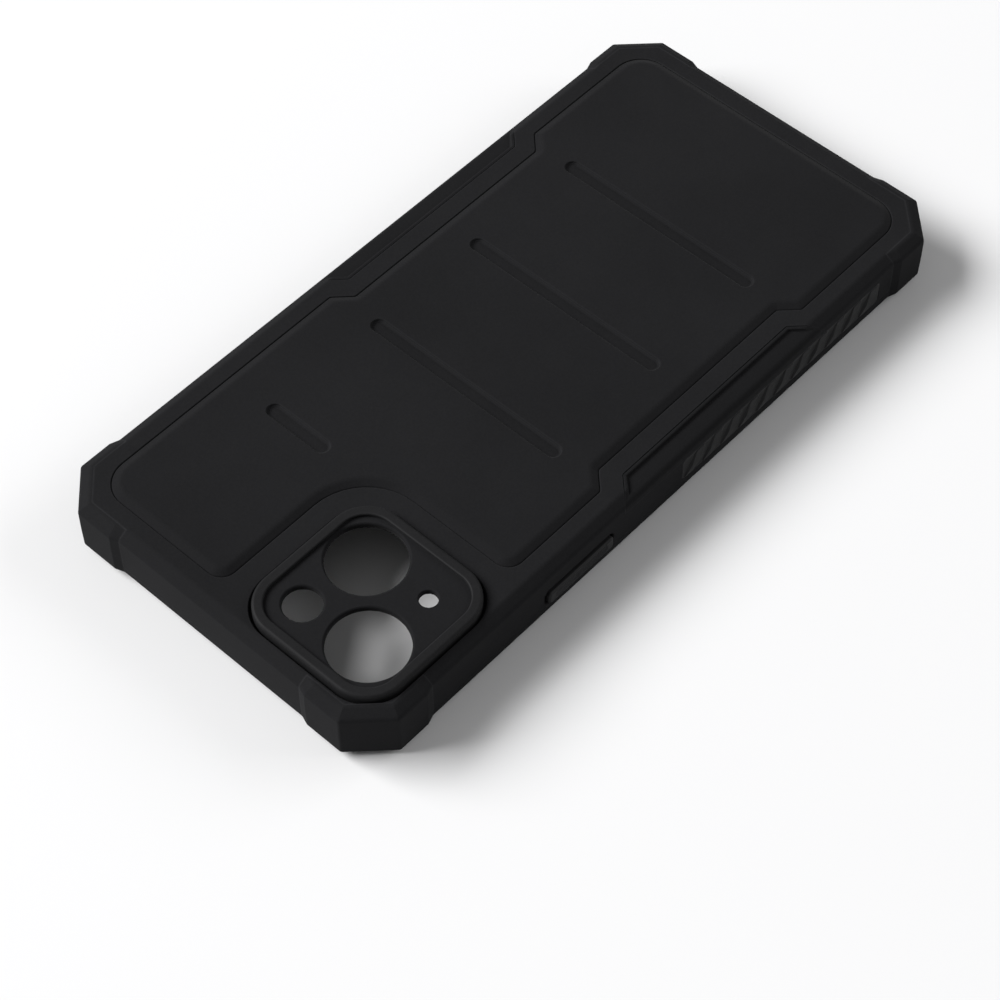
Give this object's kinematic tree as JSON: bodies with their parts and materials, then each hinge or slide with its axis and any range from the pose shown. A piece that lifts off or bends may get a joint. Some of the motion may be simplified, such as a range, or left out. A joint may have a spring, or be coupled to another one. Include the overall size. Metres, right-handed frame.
{
  "type": "phone case",
  "caption": "Rugged soft protective case for a flat handset, with a raised back panel, camera guard, corner bumpers, side grips and side keys that press in.",
  "frame": {"origin": "middle of the front lip's plane, on the case's centre line; the case lies on its front lip with its back up", "axes": "+Z out of the back, +Y towards the camera end, +X towards the volume keys"},
  "size_m": [0.0772, 0.156, 0.0136],
  "materials": {
    "soft_frame": "matte soft moulded elastomer, fine texture",
    "inner_plate": "matte soft moulded elastomer, dotted inner face",
    "panel": "velvety matte coating",
    "guard": "matte with a slightly polished crest",
    "lens_plate": "velvety matte coating",
    "bumper": "matte soft moulded elastomer",
    "pad": "matte soft moulded elastomer",
    "grip": "satin ribbed elastomer",
    "key": "satin elastomer with fine ribs",
    "web": "thin matte elastomer"
  },
  "bodies": {
    "case": {"side_frame": "soft_frame", "front_lip": "soft_frame", "back_plate": "inner_plate", "back_panel": "panel", "camera_guard": "guard", "camera_plate": "lens_plate", "bumper_camera_power": "bumper", "bumper_camera_volume": "bumper", "bumper_port_power": "bumper", "bumper_port_volume": "bumper", "side_pad_power": "pad", "side_pad_volume": "pad", "side_grip_power": "grip", "side_grip_volume": "grip", "power_button_web": "web", "volume_up_web": "web", "volume_down_web": "web"},
    "power_key": {"power_button": "key"},
    "volume_up_key": {"volume_up_button": "key"},
    "volume_down_key": {"volume_down_button": "key"}
  },
  "joints": [
    {"name": "power_press", "type": "slide", "parent": "case", "child": "power_key", "axis": [1, 0, 0], "range_m": [0, 0.0005], "stiffness_N_per_m": 4000, "springref_m": -0.0001},
    {"name": "volume_up_press", "type": "slide", "parent": "case", "child": "volume_up_key", "axis": [-1, 0, 0], "range_m": [0, 0.0005], "stiffness_N_per_m": 4000, "springref_m": -0.0001},
    {"name": "volume_down_press", "type": "slide", "parent": "case", "child": "volume_down_key", "axis": [-1, 0, 0], "range_m": [0, 0.0005], "stiffness_N_per_m": 4000, "springref_m": -0.0001}
  ]
}
